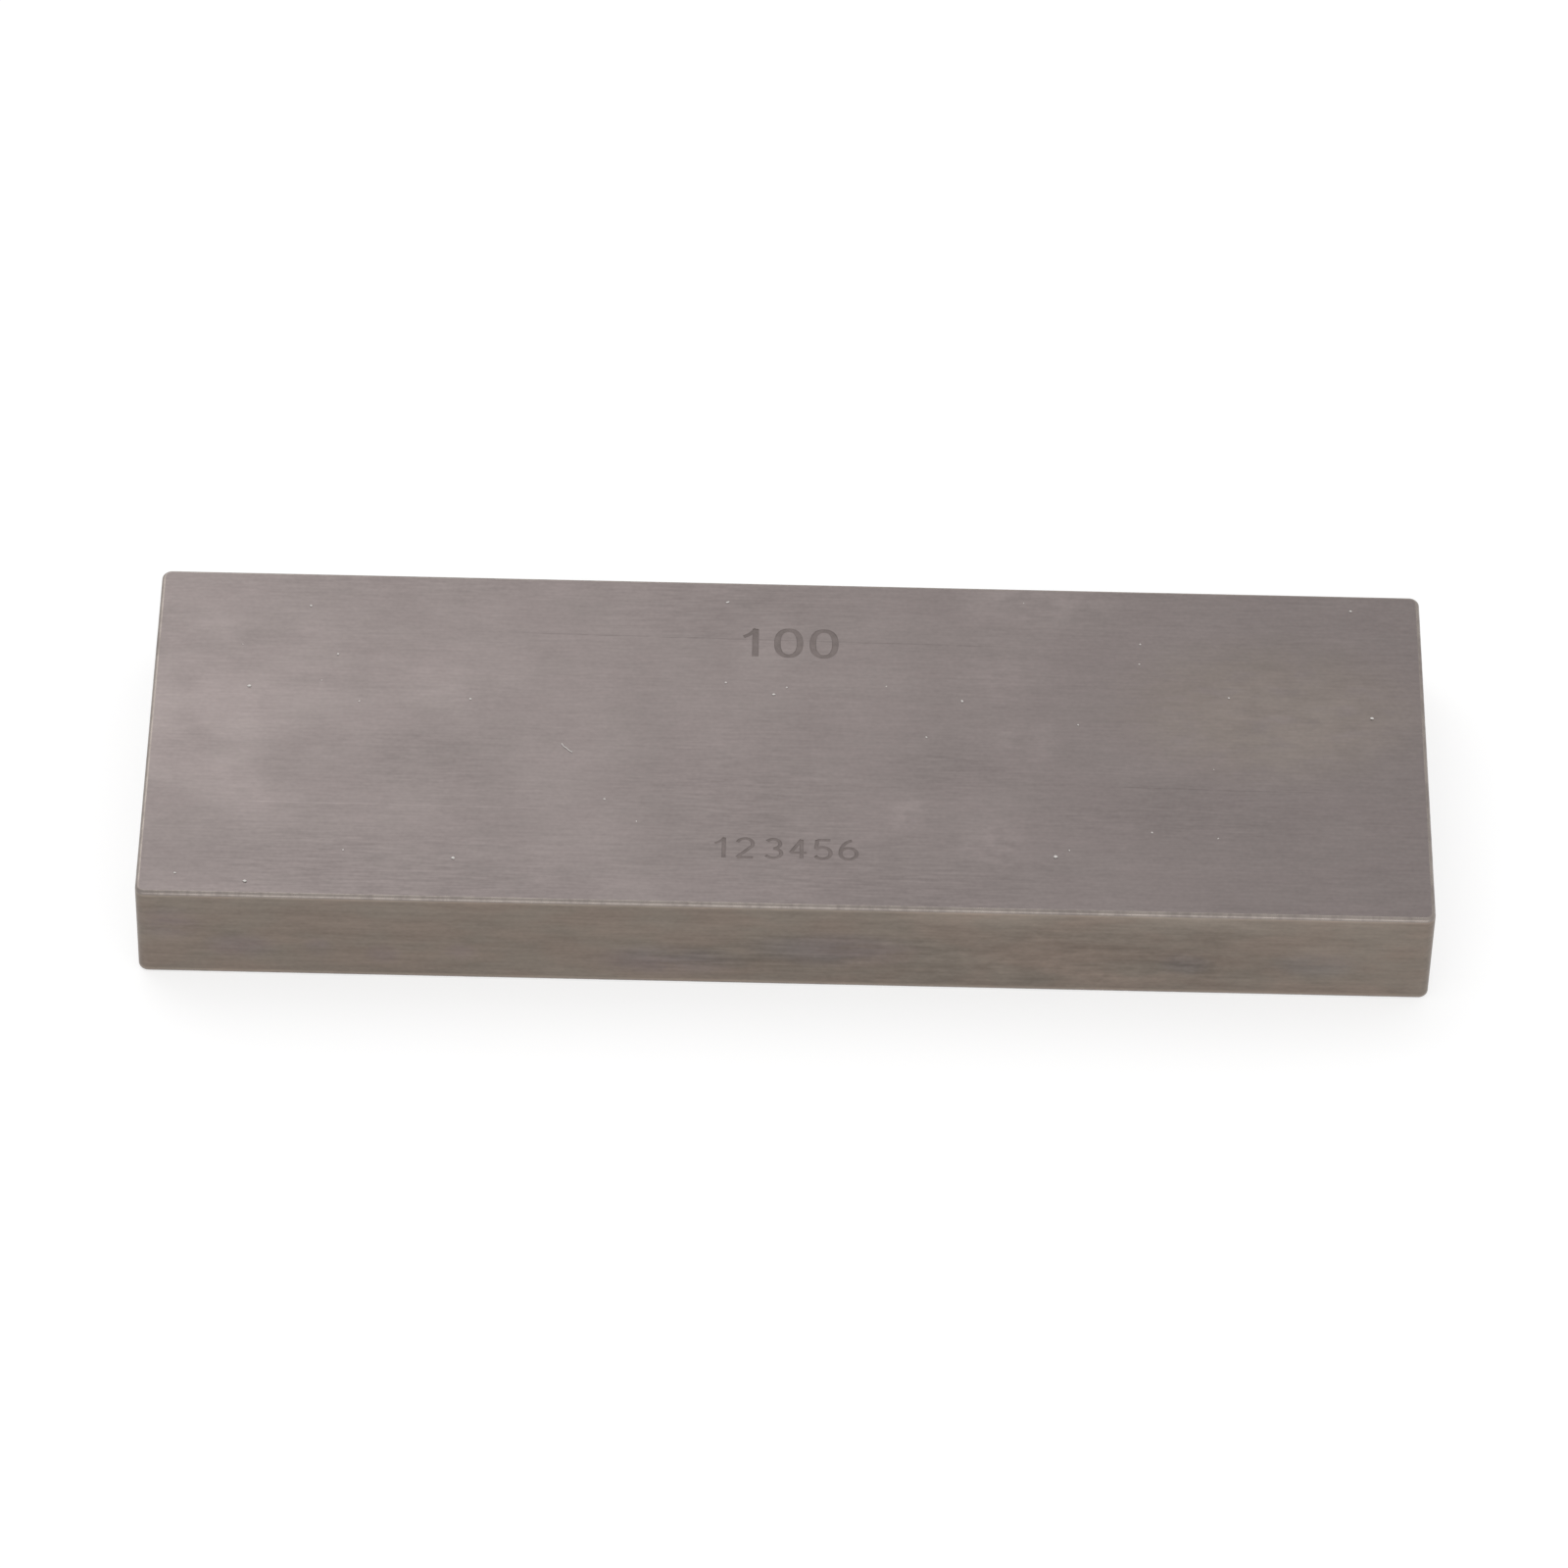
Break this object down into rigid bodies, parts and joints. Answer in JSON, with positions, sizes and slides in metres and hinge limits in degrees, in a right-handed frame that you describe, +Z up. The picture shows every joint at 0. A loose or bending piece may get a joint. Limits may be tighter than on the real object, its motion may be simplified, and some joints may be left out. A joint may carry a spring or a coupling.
{
  "type": "gauge block",
  "caption": "Plain rectangular steel bar with two flat lapped measuring faces at its ends, ground sides, rounded corners and a fine break round each wide face.",
  "frame": {"origin": "middle of the underside, the wide side face that the block lies on", "axes": "+X along the gauge length between the measuring faces, +Y across the width, +Z up through the thickness"},
  "size_m": [0.1, 0.035, 0.009],
  "materials": {
    "gauge_steel": "fine ground along the length on the sides, lapped to a mirror on the two measuring faces"
  },
  "bodies": {
    "root": {"gauge_block": "gauge_steel"}
  },
  "joints": []
}
